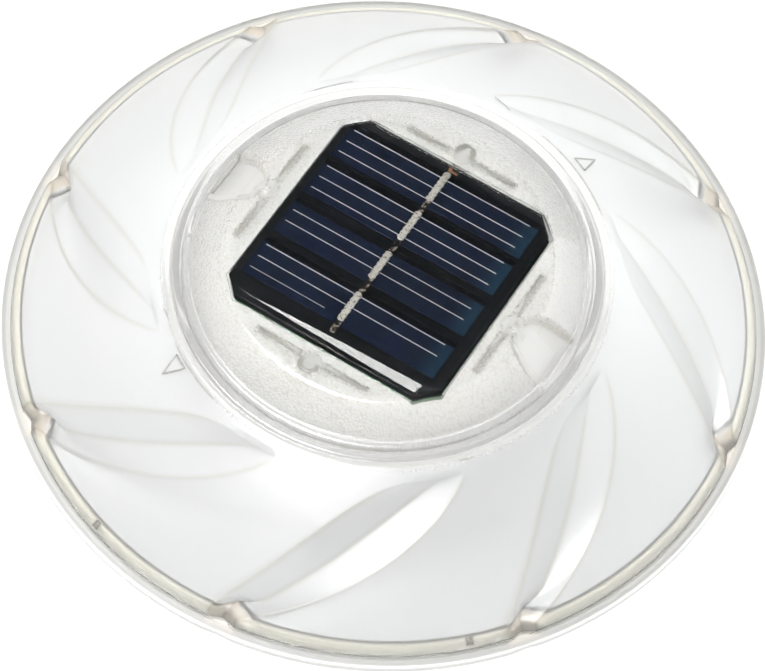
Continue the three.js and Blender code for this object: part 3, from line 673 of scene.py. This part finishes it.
def build_rib(name, side, turn, material):
    """A locating rib under the cap with a wavy outer face."""
    length = np.linspace(3.3, 14.4, 56)
    rows = []
    for y in length:
        wave = 0.16 * math.sin(y * 4.2)
        end = min(1.0, (y - 3.3) / 0.5 + 0.25, (14.4 - y) / 0.5 + 0.25)
        half = 0.6 * end
        rows.append([(31.9 - half, y), (31.9 + half + wave * end, y)])
    points, faces = [], []
    for (a, b) in rows:
        for z in (54.9, 56.57):
            points += [(a[0], side * a[1], z), (b[0], side * b[1], z)]
    order = (0, 1, 3, 2)
    for k in range(len(rows) - 1):
        for m in range(4):
            p, q = order[m], order[(m + 1) % 4]
            faces.append((4 * k + p, 4 * k + q, 4 * k + 4 + q, 4 * k + 4 + p))
    faces.append(tuple(reversed(order)))
    last = 4 * (len(rows) - 1)
    faces.append(tuple(last + m for m in order))
    points = rotated(points, turn) * MM
    obj = mesh_object(name, points, outward(points, faces), "module", [material])
    return obj


# ---------------------------------------------------------------- solar panel
def octagon(inset):
    """The panel's outline in its own axes, anticlockwise."""
    h = PANEL / 2 - inset
    c = max(0.3, PANEL_CHAMFER - inset * 0.59)
    return [(h, h - c), (h - c, h), (c - h, h), (-h, h - c), (-h, c - h), (c - h, -h), (h - c, -h), (h, c - h)]


def nudged(obj):
    """Moves a panel piece's mesh a little, so that it shows through the refracting cap in its true place."""
    for vertex in obj.data.vertices:
        vertex.co.x = vertex.co.x * 1.008 + 0.0003
        vertex.co.y = vertex.co.y * 1.008 + 0.0008
    return obj


def strip(name, pieces, body, material):
    """Several thin flat bars in the module's axes: (middle x, middle y, length, width, low z, high z)."""
    points, faces = [], []
    for x, y, length, width, low, high in pieces:
        start = len(points)
        for z in (low, high):
            points += [(x - length / 2, y - width / 2, z), (x + length / 2, y - width / 2, z),
                       (x + length / 2, y + width / 2, z), (x - length / 2, y + width / 2, z)]
        faces += [tuple(start + k for k in face) for face in
                  ((3, 2, 1, 0), (4, 5, 6, 7), (0, 1, 5, 4), (1, 2, 6, 5), (2, 3, 7, 6), (3, 0, 4, 7))]
    obj = mesh_object(name, rotated(points, MODULE_TURN) * MM, faces, body, [material])
    obj.data.polygons.foreach_set("use_smooth", [False] * len(faces))
    return nudged(obj)


def build_panel():
    """The board with its green edge, four cells with printed fingers, and the tinned ribbon across them."""
    board = Shader("panel_board").set(Roughness=0.35, IOR=1.3)
    normal = board.tree.nodes.new("ShaderNodeNewGeometry").outputs["Normal"]
    split = board.tree.nodes.new("ShaderNodeSeparateXYZ")
    board.feed(split, 0, normal)
    side = board.span(board.maths("ABSOLUTE", split.outputs[2]), 0.3, 0.7, 1.0, 0.0)
    top = board.blend(board.noise(4.0), (0.003, 0.004, 0.005), (0.006, 0.008, 0.010))
    board.put("Base Color", board.blend(side, top, (0.09, 0.26, 0.11)))
    board.bump(board.noise(0.5), 0.01, 0.4)
    nudged(refine("solar_panel_board", board.material, 0.1))

    for k, middle in enumerate(CELL_MIDDLES):
        cell = Shader(f"solar_cell_{k + 1}").set(Roughness=0.25, IOR=1.35)
        u, v = cell.part(0, -MODULE_TURN), cell.part(1, -MODULE_TURN)
        crystal = cell.noise(5.0, detail=5.0, distortion=0.6)
        dark = cell.blend(crystal, (0.005, 0.009, 0.024), (0.012, 0.027, 0.072))
        teal = cell.blend(crystal, (0.008, 0.032, 0.070), (0.024, 0.070, 0.115))
        tone = cell.blend(cell.span(u, 0.0185, 0.0248), dark, teal)
        off = cell.maths("ABSOLUTE", cell.maths("SUBTRACT", v, middle * MM))
        cell.put("Base Color", cell.blend(cell.span(off, 0.0042, 0.0050), tone, (0.003, 0.004, 0.007)))
        cell.bump(cell.noise(1.2), 0.004, 0.3)
        nudged(refine(f"solar_cell_{k + 1}", cell.material, 0.05))

    silver = Shader("finger_silver").set(Metallic=0.15)
    silver.put("Base Color", silver.blend(silver.noise(1.5), (0.70, 0.76, 0.84), (0.92, 0.92, 0.90)))
    silver.put("Roughness", silver.span(silver.noise(0.6), 0.3, 0.7, 0.35, 0.6))
    fingers = []
    for group in FINGER_ROWS:
        for v in group:
            faint = v < -19
            right = -5.0 if faint else FINGER_RIGHT
            width = 0.12 if faint else 0.2
            fingers.append(((FINGER_LEFT + right) / 2, v, right - FINGER_LEFT, width, 55.155, 55.185))
    strip("cell_fingers", fingers, "module", silver.material)

    dull = Shader("tarnished_ribbon").set(Metallic=0.5)
    spots = dull.noise(0.7, detail=3.0)
    dull.put("Base Color", dull.blend(dull.span(spots, 0.5, 0.62), (0.02, 0.017, 0.014), (0.55, 0.48, 0.38)))
    dull.put("Roughness", dull.span(spots, 0.4, 0.7, 0.6, 0.3))
    ribbon = nudged(refine("cell_ribbon", dull.material, 0.04))
    solder = Shader("ribbon_solder").set(Metallic=0.2)
    pits = solder.noise(0.55, detail=4.0, roughness=0.7)
    solder.put("Base Color", solder.blend(solder.span(pits, 0.36, 0.48), (0.34, 0.27, 0.19), (0.88, 0.86, 0.79)))
    solder.put("Roughness", solder.span(pits, 0.3, 0.7, 0.5, 0.3))
    solder.bump(pits, 0.12, 0.8)
    for k, (high, low) in enumerate(((25.9, 16.8), (13.3, 4.4), (0.6, -7.7), (-12.0, -20.6))):
        bead = build_bead(f"ribbon_solder_{k + 1}", high, low, solder.material)
    copper = Shader("ribbon_tab").set(Metallic=0.8)
    copper.put("Base Color", copper.blend(copper.noise(0.6), (0.35, 0.14, 0.06), (0.75, 0.42, 0.24)))
    copper.put("Roughness", copper.span(copper.noise(0.4), 0.3, 0.7, 0.3, 0.5))
    tab = strip("ribbon_tab", [(0.4, 26.6, 2.2, 0.5, 55.2, 55.3), (-0.6, 27.0, 0.8, 0.9, 55.2, 55.32)],
                "module", copper.material)


def build_bead(name, high, low, material):
    """A flat solder-coated stretch of the ribbon, a little uneven along its edges."""
    steps = 40
    points, faces = [], []
    for k in range(steps + 1):
        t = k / steps
        v = high + (low - high) * t
        end = min(1.0, t * 14 + 0.35, (1 - t) * 14 + 0.35)
        left = (0.88 + 0.09 * math.sin(v * 5.1) + 0.05 * math.sin(v * 11.7)) * end
        right = (0.88 + 0.09 * math.sin(v * 4.3 + 1.3) + 0.05 * math.sin(v * 13.1)) * end
        top = 55.66 + 0.03 * math.sin(v * 3.7)
        points += [(-0.4 - left, v, 55.6), (-0.4 - left * 0.7, v, top), (-0.4 + right * 0.7, v, top),
                   (-0.4 + right, v, 55.6)]
    for k in range(steps):
        for m in range(4):
            n = (m + 1) % 4
            faces.append((4 * k + m, 4 * k + n, 4 * k + 4 + n, 4 * k + 4 + m))
    faces += [(3, 2, 1, 0), (4 * steps, 4 * steps + 1, 4 * steps + 2, 4 * steps + 3)]
    points = rotated(points, MODULE_TURN) * MM
    return nudged(mesh_object(name, points, outward(points, faces), "module", [material]))


def resin_rim(side, t):
    """Where the resin's sloping rim starts inward of the edge and how wide it is, along one side of the panel."""
    thin = 0.12
    if side == 5:
        return 1.9 - 0.7 * t, max(thin, 2.4 * float(np.clip((t - 0.07) / 0.93, 0, 1)) ** 0.8)
    if side == 6:
        return 1.2 - 0.6 * t, 2.4 + (thin - 2.4) * t
    if side == 4:
        return 0.6 + 1.3 * t, thin
    return 0.6, thin


def build_resin():
    """Poured clear resin whose rim slopes down on one side, in a strip that widens towards a corner."""
    s = Shader("panel_resin").set(IOR=1.5, Transmission_Weight=1.0, Roughness=0.02)
    s.put("Base Color", s.blend(s.noise(12.0), (0.985, 0.99, 0.985), (1.0, 1.0, 1.0)))
    s.bump(s.noise(14.0, detail=1.0), 0.006, 0.5)
    top = 56.35
    per_side = 24
    sections = []
    for side in range(8):
        for m in range(per_side):
            t = m / per_side
            start, width = resin_rim(side, t)
            rise = 0.235 * width
            low = top - rise
            section = [(26.0, 55.5), (8.0, 55.5), (1.1, 55.5), (0.6, 55.5), (0.42, 55.52), (0.42, low - 0.05),
                       (0.42, low - 0.01), (0.43, low), (0.47, low)]
            section += [(start + width * f, low + rise * max(0, min(1, f)))
                        for f in (-0.05, 0, 0.06, 0.5, 0.94, 1, 1.05)]
            section += [(8.0, top), (14.0, top), (26.0, top)]
            row = []
            for inset, z in section:
                corners = octagon(inset)
                a, b = corners[side], corners[(side + 1) % 8]
                row.append((a[0] + (b[0] - a[0]) * t, a[1] + (b[1] - a[1]) * t, z))
            sections.append(row)
    count, rows = len(sections), len(sections[0])
    points = [row[j] for j in range(rows) for row in sections]
    faces = []
    for j in range(rows - 1):
        for i in range(count):
            n = (i + 1) % count
            faces.append((j * count + i, j * count + n, (j + 1) * count + n, (j + 1) * count + i))
    last = (rows - 1) * count
    faces.append(tuple(last + i for i in range(count)))
    faces.append(tuple(reversed(range(count))))
    points = rotated(points, MODULE_TURN) * MM
    obj = nudged(mesh_object("resin_cover", points, outward(points, faces), "module", [s.material]))
    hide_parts("panel_resin")


# ---------------------------------------------------------------- the rest of the module
def metal(name, low, high, rough=(0.2, 0.4)):
    """Metal with fine scratches along one direction."""
    s = Shader(name).set(Metallic=1.0)
    scratch = s.noise(0.5, detail=4.0, stretch=(1, 6, 1))
    s.put("Base Color", s.blend(s.noise(1.5), low, high))
    s.put("Roughness", s.span(scratch, 0.3, 0.7, rough[0], rough[1]))
    s.bump(scratch, 0.01, 0.4)
    return s.material


def build_module():
    """Everything in the module below the panel: refined copies of the CAD nodes with their own materials."""
    housing = Shader("housing_clear").set(IOR=1.49, Transmission_Weight=0.92)
    housing.put("Base Color", housing.blend(housing.noise(10.0), (0.94, 0.94, 0.915), (0.97, 0.97, 0.95)))
    housing.put("Roughness", housing.span(housing.noise(2.0), 0.3, 0.7, 0.12, 0.22))
    housing.bump(housing.noise(0.6), 0.015, 0.4)
    refine("module_housing", housing.material, 0.3)

    tray = Shader("tray_plastic").set(IOR=1.49)
    mottle = tray.noise(2.2, detail=4.0)
    tray.put("Base Color", tray.blend(tray.span(mottle, 0.35, 0.7), (0.95, 0.95, 0.935), (0.90, 0.885, 0.84)))
    tray.put("Roughness", tray.span(mottle, 0.3, 0.7, 0.3, 0.5))
    tray.bump(mottle, 0.08, 0.5)
    refine("panel_tray", tray.material, 0.25)

    silicone = plain("seal_silicone", (0.80, 0.80, 0.76), (0.88, 0.88, 0.85), (0.3, 0.45), Transmission_Weight=0.4)
    for node in ("cap_seal_ring", "lens_gasket", "door_gasket"):
        refine(node, silicone, 0)

    steel = metal("screw_steel", (0.56, 0.57, 0.60), (0.74, 0.74, 0.75))
    for node in ("board_screw_1", "board_screw_2", "door_screw_1", "door_screw_2"):
        refine(node, steel, 0.08)
    bright = metal("screw_bright", (0.86, 0.86, 0.84), (0.95, 0.95, 0.93), (0.4, 0.55))
    for k in range(4):
        refine(f"tray_screw_{k + 1}", bright, 0.08)
    contact = metal("contact_metal", (0.68, 0.69, 0.70), (0.82, 0.82, 0.80), (0.15, 0.3))
    refine("battery_plate", contact, 0.05)
    refine("battery_spring", contact, 0)

    lens = Shader("lens_clear").set(IOR=1.5, Transmission_Weight=1.0, Roughness=0.03)
    lens.put("Base Color", lens.blend(lens.noise(8.0), (0.97, 0.98, 0.98), (1, 1, 1)))
    lens.bump(lens.noise(6.0, detail=1.0), 0.03, 0.4)
    refine("lens", lens.material, 0.2)
    refine("reflector", plain("reflector_white", (0.86, 0.86, 0.84), (0.93, 0.93, 0.92), (0.12, 0.22)), 0.15)

    resist = Shader("board_green").set(IOR=1.5)
    tracks = resist.cells(2.6)
    resist.put("Base Color", resist.blend(resist.span(tracks, 0.28, 0.34), (0.035, 0.17, 0.08), (0.02, 0.105, 0.05)))
    resist.put("Roughness", resist.span(resist.noise(1.0), 0.3, 0.7, 0.28, 0.45))
    resist.bump(tracks, 0.04, 0.5)
    refine("circuit_board", resist.material, 0.1)

    led = Shader("led_resin").set(IOR=1.53, Transmission_Weight=0.9)
    led.put("Base Color", led.blend(led.noise(2.0), (0.93, 0.95, 0.96), (0.99, 0.99, 0.98)))
    led.put("Roughness", led.span(led.noise(1.0), 0.3, 0.7, 0.03, 0.1))
    for k in range(3):
        refine(f"led_{k + 1}", led.material, 0.05)

    black = plain("chip_black", (0.014, 0.014, 0.015), (0.026, 0.026, 0.028), (0.4, 0.6), 1.0, 0.01, 0.15)
    refine("controller_chip", black, 0.12)
    refine("switch_body", black, 0.2)
    winding = Shader("ferrite_drum")
    wave = winding.tree.nodes.new("ShaderNodeTexWave")
    wave.bands_direction = "Z"
    wave.inputs["Scale"].default_value = 900
    winding.feed(wave, "Vector", winding.space)
    height = winding.part(2)
    wound = winding.maths("MULTIPLY", winding.span(height, 0.0251, 0.0253), winding.span(height, 0.0277, 0.0275))
    wire = winding.blend(wave.outputs["Fac"], (0.22, 0.07, 0.02), (0.55, 0.24, 0.09))
    winding.put("Base Color", winding.blend(wound, (0.035, 0.033, 0.03), wire))
    winding.put("Roughness", winding.span(winding.noise(0.5), 0.3, 0.7, 0.35, 0.55))
    refine("inductor", winding.material, 0.1)
    can = Shader("capacitor_sleeve")
    upper = can.span(can.part(2), 0.0299, 0.03)
    can.put("Base Color", can.blend(upper, (0.02, 0.03, 0.06), (0.7, 0.7, 0.71)))
    can.put("Metallic", upper)
    can.put("Roughness", can.span(can.noise(0.8), 0.3, 0.7, 0.25, 0.45))
    refine("capacitor", can.material, 0.15)
    coat = Shader("resistor_body")
    bands = coat.tree.nodes.new("ShaderNodeTexWave")
    bands.bands_direction = "X"
    bands.inputs["Scale"].default_value = 190
    coat.feed(bands, "Vector", coat.stretched((1, 1, 1), -(MODULE_TURN + BAY_TURN)))
    stripe = coat.span(bands.outputs["Fac"], 0.75, 0.8)
    coat.put("Base Color", coat.blend(stripe, (0.60, 0.47, 0.29), (0.30, 0.06, 0.03)))
    coat.put("Roughness", coat.span(coat.noise(0.6), 0.3, 0.7, 0.35, 0.5))
    refine("resistor", coat.material, 0)

    wrap = Shader("battery_wrap")
    along = wrap.part(0, -(MODULE_TURN + BAY_TURN))
    end = wrap.maths("MAXIMUM", wrap.span(along, 0.0245, 0.0247), wrap.span(along, -0.0229, -0.0231))
    band = wrap.maths("MULTIPLY", wrap.span(along, 0.0150, 0.0152), wrap.span(along, 0.0245, 0.0243))
    tone = wrap.blend(wrap.noise(6.0), (0.05, 0.27, 0.11), (0.075, 0.33, 0.14))
    wrap.put("Base Color", wrap.blend(end, wrap.blend(band, tone, (0.72, 0.73, 0.70)), (0.66, 0.67, 0.68)))
    wrap.put("Metallic", end)
    wrap.put("Roughness", wrap.span(wrap.noise(1.5), 0.3, 0.7, 0.22, 0.35))
    refine("battery", wrap.material, 0.2)

    door = plain("door_clear", (0.90, 0.895, 0.86), (0.94, 0.935, 0.91), (0.2, 0.32), 6.0, 0.004, 0.5,
                 Transmission_Weight=0.7)
    refine("battery_door", door, 0.25)
    rubber = plain("button_blue", (0.02, 0.10, 0.36), (0.03, 0.14, 0.45), (0.45, 0.6), 2.0, 0.02, 0.2)
    refine("switch_button", rubber, 0.3)
    refine("switch_plunger", plain("plunger_white", (0.80, 0.80, 0.78), (0.88, 0.88, 0.86), (0.35, 0.5)), 0.15)
    wires = {
        "black": (("panel_wire_negative", "battery_wire_negative"), (0.012, 0.012, 0.013), (0.03, 0.03, 0.03)),
        "red": (("panel_wire_positive", "battery_wire_positive"), (0.42, 0.015, 0.01), (0.55, 0.03, 0.02)),
        "grey": (("switch_wire_1", "switch_wire_2"), (0.26, 0.26, 0.25), (0.36, 0.36, 0.35)),
    }
    for name, (nodes, low, high) in wires.items():
        skin = plain(f"wire_{name}", low, high, (0.35, 0.5), 1.0, 0.01, 0.2)
        for node in nodes:
            refine(node, skin, 0, 60)


# ---------------------------------------------------------------- scene
FROSTED = frosted()
CLEAR = clear_cap()
STIPPLED = stippled()

build_float(FROSTED)
build_marks()
build_cap(CLEAR, STIPPLED, clear_rib())
build_panel()
build_resin()
build_module()

# ---------------------------------------------------------------- floor, light and camera
CAMERA_DISTANCE = 0.6434
CAMERA_ELEVATION = math.radians(60.262)
CAMERA_ROLL = math.radians(-4.122)
CAMERA_LENS = 128.78
CAMERA_AIM = Vector((0.00072, 0.007228, 1.0))


def build_camera():
    """A camera that looks down at the flange's centre, rolled a little, with that centre just above the middle."""
    place = Vector((0, -CAMERA_DISTANCE * math.cos(CAMERA_ELEVATION), CAMERA_DISTANCE * math.sin(CAMERA_ELEVATION)))
    forward = -place.normalized()
    right = Vector((1, 0, 0))
    up = right.cross(forward)
    base = Matrix((right, up, forward))
    roll = Matrix.Rotation(CAMERA_ROLL, 3, "Z")
    aim = Vector((0, 0, 1)).rotation_difference(CAMERA_AIM.normalized()).to_matrix()
    axes = aim @ roll @ base
    camera = bpy.data.cameras.new("camera")
    camera.lens = CAMERA_LENS
    camera.sensor_width = 36
    camera.clip_start = 0.01
    obj = bpy.data.objects.new("camera", camera)
    turn = Matrix((axes[0], axes[1], -axes[2])).transposed().to_4x4()
    obj.matrix_world = Matrix.Translation(place + Vector((0, 0, FLANGE_LOW * MM))) @ turn
    bpy.context.scene.collection.objects.link(obj)
    bpy.context.scene.camera = obj


def build_floor():
    """A plain pale floor that glows a little, so that it stays white round the object."""
    s = Shader("floor").set(Roughness=0.9, Emission_Color=(1, 1, 1, 1), Emission_Strength=1.02)
    s.put("Base Color", s.blend(s.noise(60.0), (0.16, 0.16, 0.16), (0.18, 0.18, 0.18)))
    mesh = bpy.data.meshes.new("floor")
    half = 3.0
    mesh.from_pydata([(-half, -half, 0), (half, -half, 0), (half, half, 0), (-half, half, 0)], [], [(0, 1, 2, 3)])
    mesh.materials.append(s.material)
    obj = bpy.data.objects.new("floor", mesh)
    obj.location.z = -0.0002
    bpy.context.scene.collection.objects.link(obj)


def add_light(name, place, target, size, power, colour=(1, 1, 1)):
    """A softbox that faces a point."""
    light = bpy.data.lights.new(name, "AREA")
    light.shape = "RECTANGLE"
    light.size, light.size_y = size
    light.energy = power
    light.color = colour
    obj = bpy.data.objects.new(name, light)
    obj.location = place
    obj.rotation_mode = "QUATERNION"
    obj.rotation_quaternion = (Vector(target) - Vector(place)).to_track_quat("-Z", "Y")
    bpy.context.scene.collection.objects.link(obj)


def facing(tree, axis):
    """How far a direction of the surroundings points along an axis, -1 to 1."""
    node = tree.nodes.new("ShaderNodeVectorMath")
    node.operation = "DOT_PRODUCT"
    tree.links.new(tree.nodes["surroundings"].outputs["Generated"], node.inputs[0])
    node.inputs[1].default_value = axis
    return node.outputs["Value"]


def ramp(tree, value, low, high, to_low, to_high, ease):
    """Maps a range of a value to another range, clamped."""
    node = tree.nodes.new("ShaderNodeMapRange")
    node.interpolation_type = ease
    tree.links.new(value, node.inputs["Value"])
    for socket, number in (("From Min", low), ("From Max", high), ("To Min", to_low), ("To Max", to_high)):
        node.inputs[socket].default_value = number
    return node.outputs["Result"]


def build_light():
    """Bright surroundings with a dark patch behind the object for the panel to mirror, and four softboxes."""
    world = bpy.data.worlds.new("studio")
    world.use_nodes = True
    tree = world.node_tree
    tree.nodes.new("ShaderNodeTexCoord").name = "surroundings"
    sky = tree.nodes.new("ShaderNodeMix")
    sky.data_type = "RGBA"
    tree.links.new(ramp(tree, facing(tree, (0, 0.5, 0.866)), 0.83, 0.94, 0, 1, "SMOOTHSTEP"), sky.inputs[0])
    sky.inputs[6].default_value = (0.92, 0.925, 0.935, 1)
    sky.inputs[7].default_value = (0.04, 0.045, 0.05, 1)
    background = tree.nodes["Background"]
    tree.links.new(sky.outputs[2], background.inputs["Color"])
    sideways = ramp(tree, facing(tree, (0.77, 0.64, 0)), -0.8, 0.8, 0.63, 1.0, "LINEAR")
    tree.links.new(sideways, background.inputs["Strength"])
    bpy.context.scene.world = world
    add_light("overhead", (-0.27, 0.05, 1.0), (-0.27, 0.05, 0.03), (0.32, 0.5), 10)
    add_light("front", (-0.16, -0.3, 0.95), (-0.05, -0.1, 0.03), (0.36, 0.3), 4.5)
    add_light("left", (-1.0, 0.15, 0.55), (0, 0, 0.03), (0.8, 0.6), 0.6, (1.0, 0.97, 0.92))
    add_light("right", (0.95, 0.45, 0.6), (0, 0, 0.03), (0.8, 0.6), 3.2, (0.93, 0.96, 1.0))
    bpy.context.scene.cycles.max_bounces = 24
    bpy.context.scene.cycles.transmission_bounces = 24
    bpy.context.scene.cycles.sample_clamp_indirect = 40
    bpy.context.scene.view_settings.view_transform = "Standard"


build_camera()
build_floor()
build_light()
